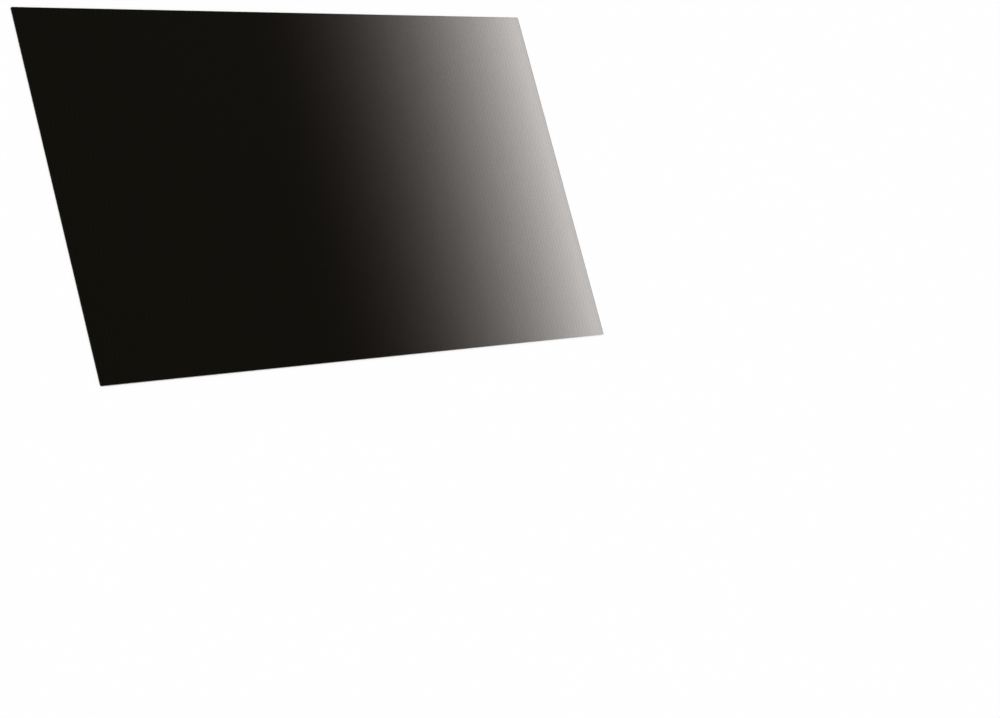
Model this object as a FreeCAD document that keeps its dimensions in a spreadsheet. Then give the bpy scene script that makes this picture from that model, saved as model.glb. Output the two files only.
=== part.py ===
"""Privacy filter of the 15.6 inch wide size: one die-cut sheet of dark louvre film.

The sheet lies on its back. The origin is the middle of the back face, +X runs along the
long side, +Y along the short side and +Z out of the front face. Sizes are in millimetres.
"""
import FreeCAD, Part
import os
import Sketcher

# Driving dimensions: name, value and what it measures.
DIMENSIONS = (
    ("sheet_width", 344.0, "long side of the 15.6 inch 16:9 size"),
    ("sheet_height", 194.0, "short side of the same size"),
    ("sheet_thickness", 0.5, "whole laminate, louvre film with a cover film on each face"),
    ("corner_radius", 0.8, "rounding of the four corners, seen from the front"),
    ("edge_round", 0.1, "rounding that the cutting die leaves round the front face"),
)

TABLE_NAME = "Dimensions"
NODE_NAME = "filter_sheet"

# Ends of a sketch line, and the sketch's own origin as its geometry and point.
LINE_START = 1
LINE_END = 2
ORIGIN = (-1, 1)

# Sides of the outline, in the order in which they are drawn.
BOTTOM, RIGHT, TOP, LEFT = range(4)


def write_dimensions(doc):
    """Put each driving dimension in a cell of its own, with its name as the alias."""
    table = doc.addObject("Spreadsheet::Sheet", TABLE_NAME)
    for row, (name, value, meaning) in enumerate(DIMENSIONS, start=1):
        table.set(f"A{row}", name)
        table.set(f"B{row}", str(value))
        table.set(f"C{row}", meaning)
        table.setAlias(f"B{row}", name)
    doc.recompute()
    return table


def origin_plane(body, role):
    """One of the body's own three base planes."""
    for feature in body.Origin.OriginFeatures:
        if feature.Role == role:
            return feature
    raise RuntimeError(f"{body.Label} has no {role}")


def bind_length(sketch, constraint, name, cell):
    """Add a length to a sketch under a name, and tie it to a driving dimension."""
    index = sketch.addConstraint(constraint)
    sketch.renameConstraint(index, name)
    sketch.setExpression(f"Constraints.{name}", f"{TABLE_NAME}.{cell}")


def draw_outline(body, table):
    """The sheet's outline on the back face: a rectangle centred on the origin."""
    outline = body.newObject("Sketcher::SketchObject", "Outline")
    outline.AttachmentSupport = (origin_plane(body, "XY_Plane"), "")
    outline.MapMode = "FlatFace"

    half_width = table.sheet_width / 2
    half_height = table.sheet_height / 2
    corners = (
        FreeCAD.Vector(-half_width, -half_height, 0),
        FreeCAD.Vector(half_width, -half_height, 0),
        FreeCAD.Vector(half_width, half_height, 0),
        FreeCAD.Vector(-half_width, half_height, 0),
    )
    for start, end in zip(corners, corners[1:] + corners[:1]):
        outline.addGeometry(Part.LineSegment(start, end), False)

    for side, following in ((BOTTOM, RIGHT), (RIGHT, TOP), (TOP, LEFT), (LEFT, BOTTOM)):
        outline.addConstraint(Sketcher.Constraint("Coincident", side, LINE_END, following, LINE_START))
    for side in (BOTTOM, TOP):
        outline.addConstraint(Sketcher.Constraint("Horizontal", side))
    for side in (RIGHT, LEFT):
        outline.addConstraint(Sketcher.Constraint("Vertical", side))
    centring = Sketcher.Constraint("Symmetric", BOTTOM, LINE_START, RIGHT, LINE_END, *ORIGIN)
    outline.addConstraint(centring)

    width = Sketcher.Constraint("DistanceX", BOTTOM, LINE_START, BOTTOM, LINE_END, table.sheet_width)
    bind_length(outline, width, "Width", "sheet_width")
    height = Sketcher.Constraint("DistanceY", RIGHT, LINE_START, RIGHT, LINE_END, table.sheet_height)
    bind_length(outline, height, "Height", "sheet_height")
    return outline


def corner_edges(shape):
    """Names of the edges that run straight through the sheet, one at each corner."""
    names = []
    for number, edge in enumerate(shape.Edges, start=1):
        along = edge.tangentAt(edge.FirstParameter)
        if round(abs(along.z)) == 1:
            names.append(f"Edge{number}")
    return names


def front_face(shape):
    """Name of the face that looks out of the front of the sheet, as a list of one."""
    for number, face in enumerate(shape.Faces, start=1):
        outward = face.normalAt(0, 0)
        if round(outward.z) == 1:
            return [f"Face{number}"]
    raise RuntimeError("the sheet has no front face")


def round_edges(body, name, base, chosen, cell):
    """Round the chosen edges, or all the edges of a chosen face, to a driving dimension."""
    rounding = body.newObject("PartDesign::Fillet", name)
    rounding.Base = (base, chosen)
    rounding.setExpression("Radius", f"{TABLE_NAME}.{cell}")
    body.Document.recompute()
    return rounding


def make_filter_sheet(doc, table):
    """The film itself: a flat plate with rounded corners and a softened front edge."""
    body = doc.addObject("PartDesign::Body", "FilterSheet")
    body.Label = NODE_NAME
    body.Placement = FreeCAD.Placement(FreeCAD.Vector(0, 0, 0), FreeCAD.Rotation())

    outline = draw_outline(body, table)
    laminate = body.newObject("PartDesign::Pad", "Laminate")
    laminate.Profile = outline
    laminate.setExpression("Length", f"{TABLE_NAME}.sheet_thickness")
    doc.recompute()

    corners = round_edges(body, "Corners", laminate, corner_edges(laminate.Shape), "corner_radius")
    round_edges(body, "FrontEdge", corners, front_face(corners.Shape), "edge_round")
    return body


def check_document(doc):
    """Stop if any object of the document failed."""
    for item in doc.Objects:
        if "Invalid" in item.State or "Error" in item.State:
            raise RuntimeError(f"{item.Label} failed: {item.State}")


def check_solid(body):
    """Stop unless the sub-part is one sound solid."""
    shape = body.Shape
    if shape.isNull() or not shape.isValid():
        raise RuntimeError(f"{body.Label} has no valid shape")
    if len(shape.Solids) != 1:
        raise RuntimeError(f"{body.Label} has {len(shape.Solids)} solids")


def main():
    doc = FreeCAD.newDocument("PrivacyFilter")
    table = write_dimensions(doc)
    body = make_filter_sheet(doc, table)
    doc.recompute()
    check_document(doc)
    check_solid(body)

    os.makedirs("parts", exist_ok=True)
    body.Shape.exportStep(os.path.join("parts", body.Label + ".step"))
    box = body.Shape.optimalBoundingBox()
    print(body.Label, "volume", round(body.Shape.Volume, 1), "mm3")
    print("box", round(box.XLength, 3), round(box.YLength, 3), round(box.ZLength, 3), "mm")


main()
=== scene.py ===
"""Looks of a monitor privacy filter: a sheet of louvre film that lies flat on a pale studio floor.

The file is laid out as an add-on and is run as a script. Lengths are in metres, in the
part's own frame: +X along the sheet's long side, +Y along its short side, +Z up.
"""
import math

import bmesh
import bpy
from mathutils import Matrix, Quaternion, Vector


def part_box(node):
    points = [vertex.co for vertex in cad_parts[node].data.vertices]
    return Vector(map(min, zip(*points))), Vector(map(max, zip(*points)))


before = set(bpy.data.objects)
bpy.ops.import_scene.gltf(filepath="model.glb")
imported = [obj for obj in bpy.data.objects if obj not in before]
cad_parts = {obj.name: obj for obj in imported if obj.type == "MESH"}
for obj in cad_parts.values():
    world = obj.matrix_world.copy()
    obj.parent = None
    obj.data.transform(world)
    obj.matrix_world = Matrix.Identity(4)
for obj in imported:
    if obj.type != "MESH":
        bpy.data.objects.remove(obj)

bl_info = {
    "name": "Privacy Filter Looks",
    "version": (1, 0, 0),
    "blender": (4, 5, 0),
    "location": "View3D > Sidebar > Privacy Filter",
    "description": "Finishes a privacy filter's louvre film and sets it on a studio floor",
    "category": "Material",
}

MM = 0.001
SHEET_NODE = "filter_sheet"

# A face that leans this far from the sheet's own plane begins to count as cut edge.
EDGE_LEAN = math.radians(60)

# Distance from one band of a wave texture to the next, at scale 1.
WAVE_REPEAT = math.pi / 10

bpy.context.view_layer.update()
sheet_low, sheet_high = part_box(SHEET_NODE)


def linear(hex_colour):
    """Turn an sRGB hex colour such as #12100D into three linear values."""
    channels = [int(hex_colour[start:start + 2], 16) / 255 for start in (1, 3, 5)]
    return tuple(c / 12.92 if c <= 0.04045 else ((c + 0.055) / 1.055) ** 2.4 for c in channels)


def add_node(tree, kind, inputs=None, **settings):
    """Add a node, set its properties, set or link its inputs, and return its outputs.

    Inputs and outputs are named by their identifiers.
    """
    node = tree.nodes.new(kind)
    for name, value in settings.items():
        setattr(node, name, value)
    sockets = {socket.identifier: socket for socket in node.inputs}
    for name, value in (inputs or {}).items():
        if isinstance(value, bpy.types.NodeSocket):
            tree.links.new(value, sockets[name])
        else:
            sockets[name].default_value = value
    return {socket.identifier: socket for socket in node.outputs}


def empty_tree(block):
    """Switch a material or world to nodes, and clear its node tree."""
    block.use_nodes = True
    block.node_tree.nodes.clear()
    return block.node_tree


class FilmFinish(bpy.types.PropertyGroup):
    """Colours and sizes of the louvre film."""

    # The film's own near-black, used all along the sheet. The louvres are not shut anywhere: the dark
    # end is painted shade, drawn by the painted fade.
    louvre_black: bpy.props.FloatVectorProperty(
        name="Louvre black",
        description="Colour of the closed louvres",
        subtype="COLOR",
        min=0.0,
        max=1.0,
        default=linear("#080500"),
    )
    gap_black: bpy.props.FloatVectorProperty(
        name="Gap black",
        description="Colour of the film between two closed louvres",
        subtype="COLOR",
        min=0.0,
        max=1.0,
        default=linear("#0B0802"),
    )
    smoke_brown: bpy.props.FloatVectorProperty(
        name="Smoke brown",
        description="Colour that the film itself takes on towards its clear end",
        subtype="COLOR",
        min=0.0,
        max=1.0,
        default=linear("#4F371E"),
    )
    cut_grey: bpy.props.FloatVectorProperty(
        name="Cut grey",
        description="Colour of the frosted edge that the cutting die leaves",
        subtype="COLOR",
        min=0.0,
        max=1.0,
        default=linear("#4A4743"),
    )
    cut_frost: bpy.props.FloatProperty(
        name="Cut frost",
        description="How far the frosted edge hides what lies behind it",
        subtype="FACTOR",
        min=0.0,
        max=1.0,
        default=0.5,
    )
    # The dark end and the fade to the clear end are painted shade: the darkening that louvres show at a
    # slant, fixed along the sheet. The louvres are the same all along.
    painted_dark_length: bpy.props.FloatProperty(
        name="Dark length",
        description="Length of the end where the louvres are shut, from the left edge",
        subtype="DISTANCE",
        unit="LENGTH",
        min=0.0,
        default=118 * MM,
    )
    clear_length: bpy.props.FloatProperty(
        name="Clear length",
        description="Length of the evenly clear end, from the right edge",
        subtype="DISTANCE",
        unit="LENGTH",
        min=0.0,
        default=5 * MM,
    )
    clear_share: bpy.props.FloatProperty(
        name="Clear share",
        description="Share of the light that passes through the sheet at its clear end",
        subtype="FACTOR",
        min=0.0,
        max=1.0,
        default=0.71,
    )
    light_gather: bpy.props.FloatProperty(
        name="Light gather",
        description="Power by which the light that passes gathers towards the clear end",
        min=1.0,
        default=1.86,
    )
    smoke_gather: bpy.props.FloatProperty(
        name="Smoke gather",
        description="Power by which the smoke brown gathers towards the clear end",
        min=1.0,
        default=3.0,
    )
    front_part: bpy.props.FloatProperty(
        name="Front part",
        description="Part of the fade that the front takes. The back takes the rest",
        subtype="FACTOR",
        min=0.0,
        max=1.0,
        default=0.75,
    )
    louvre_spacing: bpy.props.FloatProperty(
        name="Louvre spacing",
        description="Distance between the fine lines that the louvres draw across the film",
        subtype="DISTANCE",
        unit="LENGTH",
        min=0.05 * MM,
        default=2.5 * MM,
    )
    louvre_depth: bpy.props.FloatProperty(
        name="Louvre depth",
        description="How much less light a louvre lets through than the gap beside it",
        subtype="FACTOR",
        min=0.0,
        max=1.0,
        default=0.05,
    )
    coat_shine: bpy.props.FloatProperty(
        name="Coat shine",
        description="Strength of the mirror-like reflection, which bare plastic has at 0.5",
        subtype="FACTOR",
        min=0.0,
        max=1.0,
        default=0.06,
    )
    satin: bpy.props.FloatProperty(
        name="Satin",
        description="Roughness of the anti-glare coat on the front",
        subtype="FACTOR",
        min=0.0,
        max=1.0,
        default=0.26,
    )
    gloss: bpy.props.FloatProperty(
        name="Gloss",
        description="Roughness of the smooth back",
        subtype="FACTOR",
        min=0.0,
        max=1.0,
        default=0.08,
    )
    sheen_drift: bpy.props.FloatProperty(
        name="Sheen drift",
        description="How far the roughness drifts from place to place",
        subtype="FACTOR",
        min=0.0,
        max=1.0,
        default=0.06,
    )
    grain_size: bpy.props.FloatProperty(
        name="Grain size",
        description="Width of the fine grain in the anti-glare coat",
        subtype="DISTANCE",
        unit="LENGTH",
        min=0.05 * MM,
        default=0.7 * MM,
    )
    grain_height: bpy.props.FloatProperty(
        name="Grain height",
        description="Height of the fine grain in the anti-glare coat",
        subtype="DISTANCE",
        unit="LENGTH",
        min=0.0,
        default=0.02 * MM,
    )
    ripple_length: bpy.props.FloatProperty(
        name="Ripple length",
        description="Distance between the slow ripples that a rolled film keeps",
        subtype="DISTANCE",
        unit="LENGTH",
        min=5 * MM,
        default=60 * MM,
    )
    ripple_height: bpy.props.FloatProperty(
        name="Ripple height",
        description="Height of the slow ripples, as the sheen shows them",
        subtype="DISTANCE",
        unit="LENGTH",
        min=0.0,
        default=0.6 * MM,
    )


class StudioStage(bpy.types.PropertyGroup):
    """Floor, light and camera."""

    floor_colour: bpy.props.FloatVectorProperty(
        name="Floor colour",
        description="Colour of the studio floor",
        subtype="COLOR",
        min=0.0,
        max=1.0,
        default=linear("#FEFEFE"),
    )
    horizon_level: bpy.props.FloatProperty(
        name="Horizon level",
        description="Strength of the soft light from low down, all round",
        min=0.0,
        default=0.2,
    )
    zenith_level: bpy.props.FloatProperty(
        name="Zenith level",
        description="Strength of the soft light from straight above",
        min=0.0,
        default=0.65,
    )
    key_level: bpy.props.FloatProperty(
        name="Key level",
        description="Strength of the key light, as it falls on the floor",
        min=0.0,
        default=0.5,
    )
    key_spread: bpy.props.FloatProperty(
        name="Key spread",
        description="Width of the key light, as the sheet sees it",
        subtype="ANGLE",
        unit="ROTATION",
        min=0.0,
        default=math.radians(40),
    )
    camera_place: bpy.props.FloatVectorProperty(
        name="Camera place",
        description="Where the camera stands",
        subtype="TRANSLATION",
        unit="LENGTH",
        default=(-0.84364, -0.32084, 0.97206),
    )
    camera_aim: bpy.props.FloatVectorProperty(
        name="Camera aim",
        description="Point of the floor in the middle of the picture",
        subtype="TRANSLATION",
        unit="LENGTH",
        default=(0.08803, -0.10474, 0.0),
    )
    camera_roll: bpy.props.FloatProperty(
        name="Camera roll",
        description="How far the camera leans to one side",
        subtype="ANGLE",
        unit="ROTATION",
        default=math.radians(65.807),
    )
    camera_lens: bpy.props.FloatProperty(
        name="Lens",
        description="Focal length of the camera, in millimetres, for a sensor 36 mm wide",
        subtype="DISTANCE_CAMERA",
        unit="CAMERA",
        min=1.0,
        default=89.608,
    )


def draw_painted_fade(tree, place, finish):
    """How far the film has cleared along its length: 0 all along its dark end, 1 at its clear end. This
    is painted shade: the darkening that louvres show at a slant, fixed along the sheet.
    """
    along = add_node(tree, "ShaderNodeSeparateXYZ", {"Vector": place})["X"]
    return add_node(tree, "ShaderNodeMapRange", {
        "Value": along,
        "From Min": sheet_low.x + finish.painted_dark_length,
        "From Max": sheet_high.x - finish.clear_length,
    })["Result"]


def draw_louvres(tree, place, finish):
    """Fine lines along the short side: 0 on a louvre, 1 in the gap beside it."""
    # Real louvres are about 0.1 mm apart. They are drawn coarser, so that a trace of them shows.
    return add_node(tree, "ShaderNodeTexWave", {
        "Vector": place,
        "Scale": WAVE_REPEAT / finish.louvre_spacing,
    }, wave_type="BANDS", bands_direction="X")["Fac"]


def draw_cut_edge(tree, facing, finish):
    """Where the die cut the sheet: the frost on faces that look sideways, 0 on the front and back."""
    turned = add_node(tree, "ShaderNodeMath", {"Value": facing}, operation="ABSOLUTE")["Value"]
    return add_node(tree, "ShaderNodeMapRange", {
        "Value": turned,
        "From Max": math.cos(EDGE_LEAN),
        "To Min": finish.cut_frost,
        "To Max": 0.0,
    })["Result"]


def draw_open_share(tree, painted_fade, louvres, front, finish):
    """Share of the light that a face lets through: 0 all along the dark end, which is painted shade."""
    light = add_node(tree, "ShaderNodeMath", {
        "Value": painted_fade,
        "Value_001": finish.light_gather,
    }, operation="POWER")["Value"]
    peak = add_node(tree, "ShaderNodeMapRange", {
        "Value": louvres,
        "To Min": finish.clear_share * (1.0 - finish.louvre_depth),
        "To Max": finish.clear_share,
    })["Result"]
    sheet_share = add_node(tree, "ShaderNodeMath", {
        "Value": light,
        "Value_001": peak,
    }, operation="MULTIPLY")["Value"]
    # The front takes most of the painted fade, so that its sheen stays even where the painted shade
    # begins to clear.
    face_part = add_node(tree, "ShaderNodeMapRange", {
        "Value": front,
        "To Min": 1.0 - finish.front_part,
        "To Max": finish.front_part,
    })["Result"]
    return add_node(tree, "ShaderNodeMath", {
        "Value": sheet_share,
        "Value_001": face_part,
    }, operation="POWER")["Value"]


def draw_cover(tree, open_share, edge):
    """How far the film hides what lies behind it: by its louvre lines and the painted shade of its fade,
    and at its edge by the frost.
    """
    film_cover = add_node(tree, "ShaderNodeMath", {
        "Value": 1.0,
        "Value_001": open_share,
    }, operation="SUBTRACT")["Value"]
    return add_node(tree, "ShaderNodeMath", {
        "Value": film_cover,
        "Value_001": edge,
    }, operation="MAXIMUM")["Value"]


def draw_colour(tree, painted_fade, louvres, edge, finish):
    """Colour of the film: black, then smoke brown towards the clear end, and grey where it was cut."""
    black = add_node(tree, "ShaderNodeMix", {
        "Factor_Float": louvres,
        "A_Color": (*finish.louvre_black, 1.0),
        "B_Color": (*finish.gap_black, 1.0),
    }, data_type="RGBA")["Result_Color"]
    # The smoke brown gathers along the painted fade, towards the clear end.
    smoke_part = add_node(tree, "ShaderNodeMath", {
        "Value": painted_fade,
        "Value_001": finish.smoke_gather,
    }, operation="POWER")["Value"]
    smoke = add_node(tree, "ShaderNodeMix", {
        "Factor_Float": smoke_part,
        "A_Color": black,
        "B_Color": (*finish.smoke_brown, 1.0),
    }, data_type="RGBA")["Result_Color"]
    return add_node(tree, "ShaderNodeMix", {
        "Factor_Float": edge,
        "A_Color": smoke,
        "B_Color": (*finish.cut_grey, 1.0),
    }, data_type="RGBA")["Result_Color"]


def draw_roughness(tree, ripples, front, finish):
    """Roughness of the film: satin on the front and glossy on the back, with a slow drift."""
    side_roughness = add_node(tree, "ShaderNodeMapRange", {
        "Value": front,
        "To Min": finish.gloss,
        "To Max": finish.satin,
    })["Result"]
    return add_node(tree, "ShaderNodeMath", {
        "Value": ripples,
        "Value_001": finish.sheen_drift,
        "Value_002": side_roughness,
    }, operation="MULTIPLY_ADD")["Value"]


def draw_relief(tree, place, ripples, front, finish):
    """Normals of the film: slow ripples, with the coat's fine grain on top of them at the front."""
    rippled = add_node(tree, "ShaderNodeBump", {
        "Height": ripples,
        "Distance": finish.ripple_height,
    })["Normal"]
    # The grain of a real coat is finer than a hair. It is drawn coarser, so that it breaks up the sheen.
    grain = add_node(tree, "ShaderNodeTexNoise", {
        "Vector": place,
        "Scale": 1.0 / finish.grain_size,
        "Detail": 1.0,
    })["Fac"]
    return add_node(tree, "ShaderNodeBump", {
        "Strength": front,
        "Height": grain,
        "Distance": finish.grain_height,
        "Normal": rippled,
    })["Normal"]


def make_louvre_film(finish):
    """Louvre film: dark polyester laminate, with a satin anti-glare coat on its front.

    The eye meets near-black with a soft sheen, which clears to a warm smoke grey at one end.
    The dark end and its clearing are painted shade: the darkening that louvres show at a slant, fixed
    along the sheet.
    The louvres show only as very fine lines along the short side, and the die-cut edge as a
    thin frosted line. The back is smooth and glossy.
    """
    material = bpy.data.materials.new("louvre_film_satin")
    tree = empty_tree(material)
    source = add_node(tree, "ShaderNodeTexCoord")
    place = source["Object"]
    facing = add_node(tree, "ShaderNodeSeparateXYZ", {"Vector": source["Normal"]})["Z"]
    # 1 on the front, 0 on the back.
    front = add_node(tree, "ShaderNodeMapRange", {"Value": facing, "From Min": -1.0})["Result"]
    painted_fade = draw_painted_fade(tree, place, finish)
    louvres = draw_louvres(tree, place, finish)
    open_share = draw_open_share(tree, painted_fade, louvres, front, finish)
    edge = draw_cut_edge(tree, facing, finish)
    ripples = add_node(tree, "ShaderNodeTexNoise", {
        "Vector": place,
        "Scale": 1.0 / finish.ripple_length,
        "Detail": 1.0,
    })["Fac"]

    film = add_node(tree, "ShaderNodeBsdfPrincipled", {
        "Base Color": draw_colour(tree, painted_fade, louvres, edge, finish),
        "Roughness": draw_roughness(tree, ripples, front, finish),
        "Specular IOR Level": finish.coat_shine,
        "Normal": draw_relief(tree, place, ripples, front, finish),
    })["BSDF"]
    clear = add_node(tree, "ShaderNodeBsdfTransparent")["BSDF"]
    mixed = add_node(tree, "ShaderNodeMixShader", {
        "Fac": draw_cover(tree, open_share, edge),
        "Shader": clear,
        "Shader_001": film,
    })["Shader"]
    add_node(tree, "ShaderNodeOutputMaterial", {"Surface": mixed})
    return material


def make_floor_paint(colour):
    """Matt studio paint: an even pale tone with no shine."""
    material = bpy.data.materials.new("floor_paint_matt")
    tree = empty_tree(material)
    paint = add_node(tree, "ShaderNodeBsdfPrincipled", {
        "Base Color": (*colour, 1.0),
        "Roughness": 1.0,
        "Specular IOR Level": 0.0,
    })["BSDF"]
    add_node(tree, "ShaderNodeOutputMaterial", {"Surface": paint})
    return material


class OBJECT_OT_finish_filter_sheet(bpy.types.Operator):
    """Give the filter sheet its louvre film"""

    bl_idname = "object.finish_filter_sheet"
    bl_label = "Finish Filter Sheet"

    def execute(self, context):
        film = make_louvre_film(context.scene.film_finish)
        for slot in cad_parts[SHEET_NODE].material_slots:
            slot.material = film
        return {"FINISHED"}


class SCENE_OT_set_filter_stage(bpy.types.Operator):
    """Lay the floor and set the light and the camera"""

    bl_idname = "scene.set_filter_stage"
    bl_label = "Set Stage"

    # The floor lies a hair below the sheet, so that the two faces don't fight.
    FLOOR_DROP = 0.05 * MM
    # The floor reaches this far each way from the sheet.
    FLOOR_REACH = 20.0
    # Place of the key light. Only its direction from the sheet counts.
    KEY_PLACE = Vector((-0.35, 0.45, 1.0))
    # The sky carries the floor's white on up to the first height, and has lost it by the second.
    WHITE_UNTIL = math.sin(math.radians(1))
    WHITE_ENDS = math.sin(math.radians(7))

    def lay_floor(self, context, stage):
        mesh = bpy.data.meshes.new("studio_floor")
        shape = bmesh.new()
        bmesh.ops.create_grid(shape, x_segments=1, y_segments=1, size=self.FLOOR_REACH)
        bmesh.ops.translate(shape, verts=shape.verts, vec=(0.0, 0.0, sheet_low.z - self.FLOOR_DROP))
        shape.to_mesh(mesh)
        shape.free()
        mesh.materials.append(make_floor_paint(stage.floor_colour))
        floor = bpy.data.objects.new("studio_floor", mesh)
        context.scene.collection.objects.link(floor)

    def paint_sky(self, context, stage):
        sky = bpy.data.worlds.new("studio_sky")
        tree = empty_tree(sky)
        direction = add_node(tree, "ShaderNodeTexCoord")["Generated"]
        height = add_node(tree, "ShaderNodeSeparateXYZ", {"Vector": direction})["Z"]
        sky_level = add_node(tree, "ShaderNodeMapRange", {
            "Value": height,
            "To Min": stage.horizon_level,
            "To Max": stage.zenith_level,
        })["Result"]
        horizon_white = add_node(tree, "ShaderNodeMapRange", {
            "Value": height,
            "From Min": self.WHITE_UNTIL,
            "From Max": self.WHITE_ENDS,
            "To Min": 1.0,
            "To Max": 0.0,
        })["Result"]
        level = add_node(tree, "ShaderNodeMath", {
            "Value": sky_level,
            "Value_001": horizon_white,
        }, operation="MAXIMUM")["Value"]
        light = add_node(tree, "ShaderNodeBackground", {
            "Color": (1.0, 1.0, 1.0, 1.0),
            "Strength": level,
        })["Background"]
        add_node(tree, "ShaderNodeOutputWorld", {"Surface": light})
        context.scene.world = sky

    def hang_key_light(self, context, stage):
        towards = self.KEY_PLACE.normalized()
        key = bpy.data.lights.new("key_light", "SUN")
        # A lamp of strength pi, straight above, gives a white floor a level of 1.
        key.energy = stage.key_level * math.pi / towards.z
        key.angle = stage.key_spread
        lamp = bpy.data.objects.new("key_light", key)
        lamp.location = self.KEY_PLACE
        lamp.rotation_mode = "QUATERNION"
        lamp.rotation_quaternion = towards.to_track_quat("Z", "Y")
        context.scene.collection.objects.link(lamp)

    def place_camera(self, context, stage):
        camera = bpy.data.cameras.new("photo_camera")
        camera.lens = stage.camera_lens
        holder = bpy.data.objects.new("photo_camera", camera)
        looking = Vector(stage.camera_aim) - Vector(stage.camera_place)
        roll = Quaternion((0.0, 0.0, 1.0), stage.camera_roll)
        holder.location = stage.camera_place
        holder.rotation_mode = "QUATERNION"
        holder.rotation_quaternion = looking.to_track_quat("-Z", "Y") @ roll
        context.scene.collection.objects.link(holder)
        context.scene.camera = holder

    def execute(self, context):
        stage = context.scene.studio_stage
        self.lay_floor(context, stage)
        self.paint_sky(context, stage)
        self.hang_key_light(context, stage)
        self.place_camera(context, stage)
        context.scene.view_settings.view_transform = "Standard"
        return {"FINISHED"}


class VIEW3D_PT_privacy_filter(bpy.types.Panel):
    """Finish and stage of the privacy filter"""

    bl_idname = "VIEW3D_PT_privacy_filter"
    bl_label = "Privacy Filter"
    bl_space_type = "VIEW_3D"
    bl_region_type = "UI"
    bl_category = "Privacy Filter"

    def draw(self, context):
        for settings, operator in (
            (context.scene.film_finish, OBJECT_OT_finish_filter_sheet),
            (context.scene.studio_stage, SCENE_OT_set_filter_stage),
        ):
            box = self.layout.box()
            for name in type(settings).__annotations__:
                box.prop(settings, name)
            box.operator(operator.bl_idname)


CLASSES = (
    FilmFinish,
    StudioStage,
    OBJECT_OT_finish_filter_sheet,
    SCENE_OT_set_filter_stage,
    VIEW3D_PT_privacy_filter,
)


def register():
    for cls in CLASSES:
        bpy.utils.register_class(cls)
    bpy.types.Scene.film_finish = bpy.props.PointerProperty(type=FilmFinish)
    bpy.types.Scene.studio_stage = bpy.props.PointerProperty(type=StudioStage)


def unregister():
    del bpy.types.Scene.studio_stage
    del bpy.types.Scene.film_finish
    for cls in reversed(CLASSES):
        bpy.utils.unregister_class(cls)


def main():
    register()
    bpy.ops.object.finish_filter_sheet()
    bpy.ops.scene.set_filter_stage()


if __name__ == "__main__":
    main()
